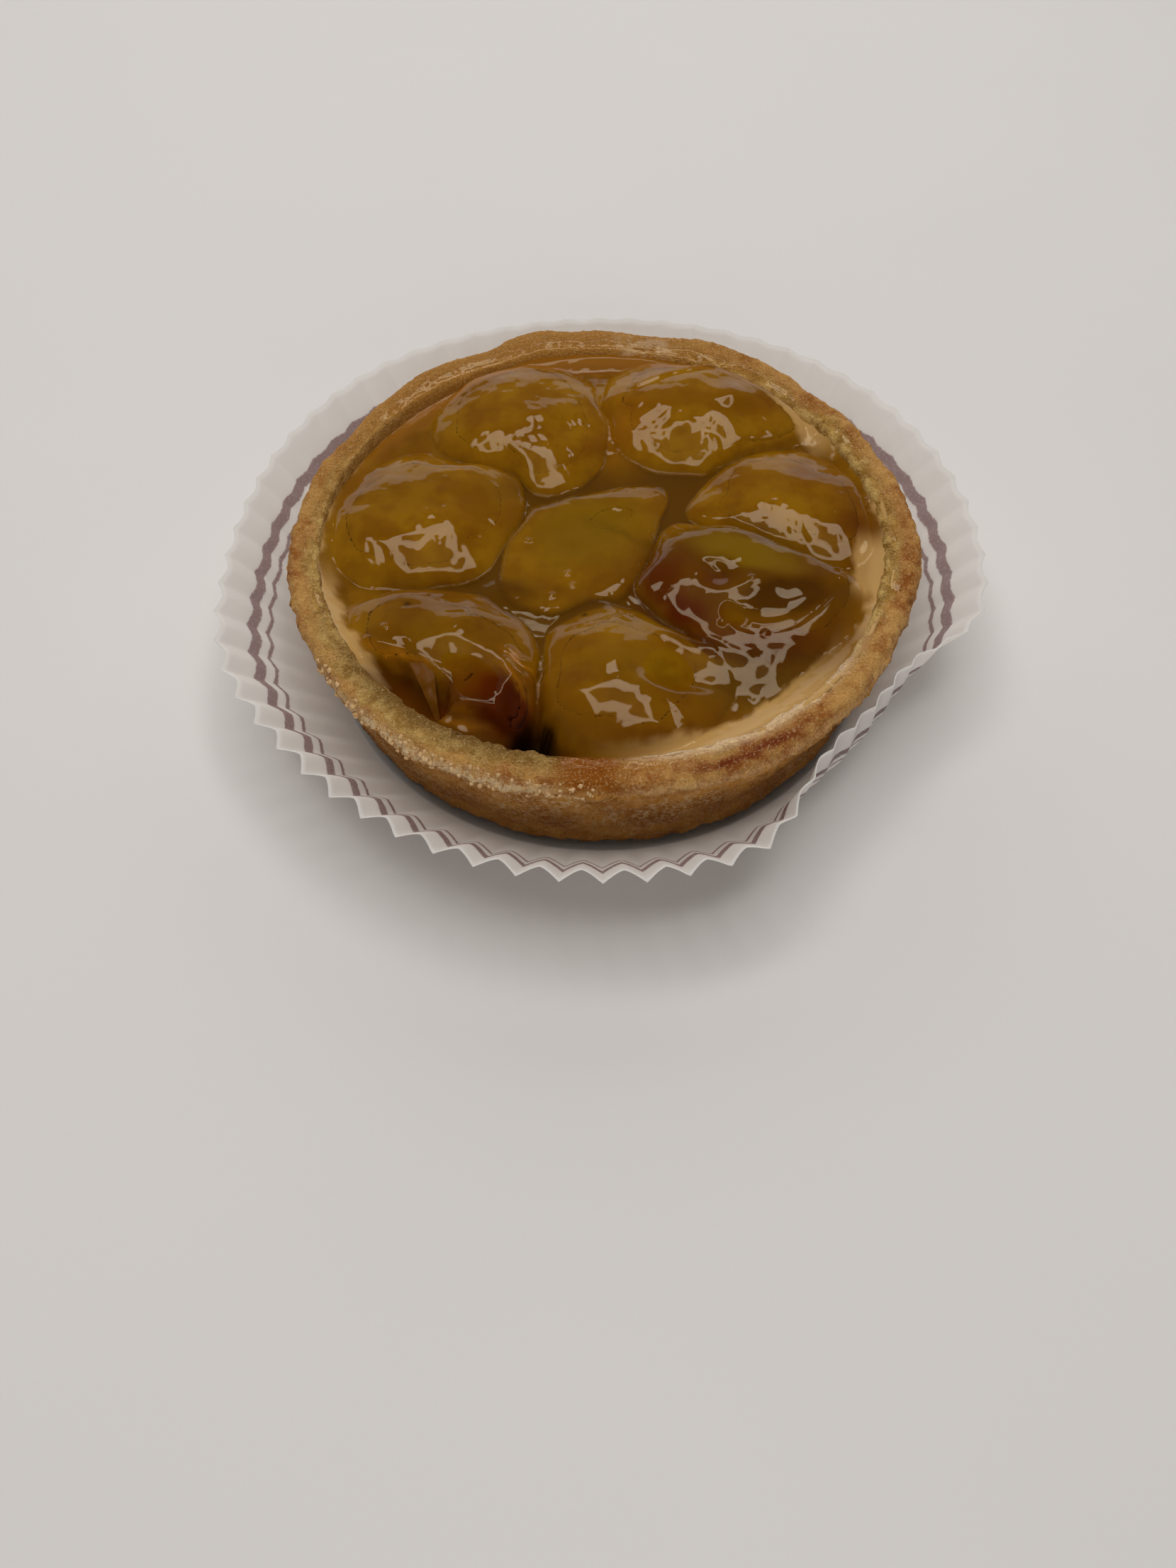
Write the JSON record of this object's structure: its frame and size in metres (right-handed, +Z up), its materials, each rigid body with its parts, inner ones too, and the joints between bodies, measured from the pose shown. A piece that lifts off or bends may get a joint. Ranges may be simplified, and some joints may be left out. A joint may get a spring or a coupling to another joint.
{
  "type": "mirabelle plum tartlet in a paper case",
  "caption": "Round shortcrust tartlet shell filled with glossy golden mirabelle plums set in clear jelly, standing in a white fluted paper case.",
  "frame": {"origin": "middle of the paper case's flat underside, on the table", "axes": "+Z up; -Y towards the viewer of the picture, +X to the viewer's right"},
  "size_m": [0.1057, 0.1051, 0.0226],
  "materials": {
    "paper": "matte",
    "crust": "matte",
    "plum": "gloss",
    "jelly": "gloss"
  },
  "bodies": {
    "root": {"paper_case": "paper", "crust": "crust", "plum_left": "plum", "plum_back_left": "plum", "plum_back_right": "plum", "plum_right": "plum", "plum_centre": "plum", "plum_right_split": "plum", "plum_front_left": "plum", "plum_front": "plum", "jelly": "jelly"}
  },
  "joints": []
}
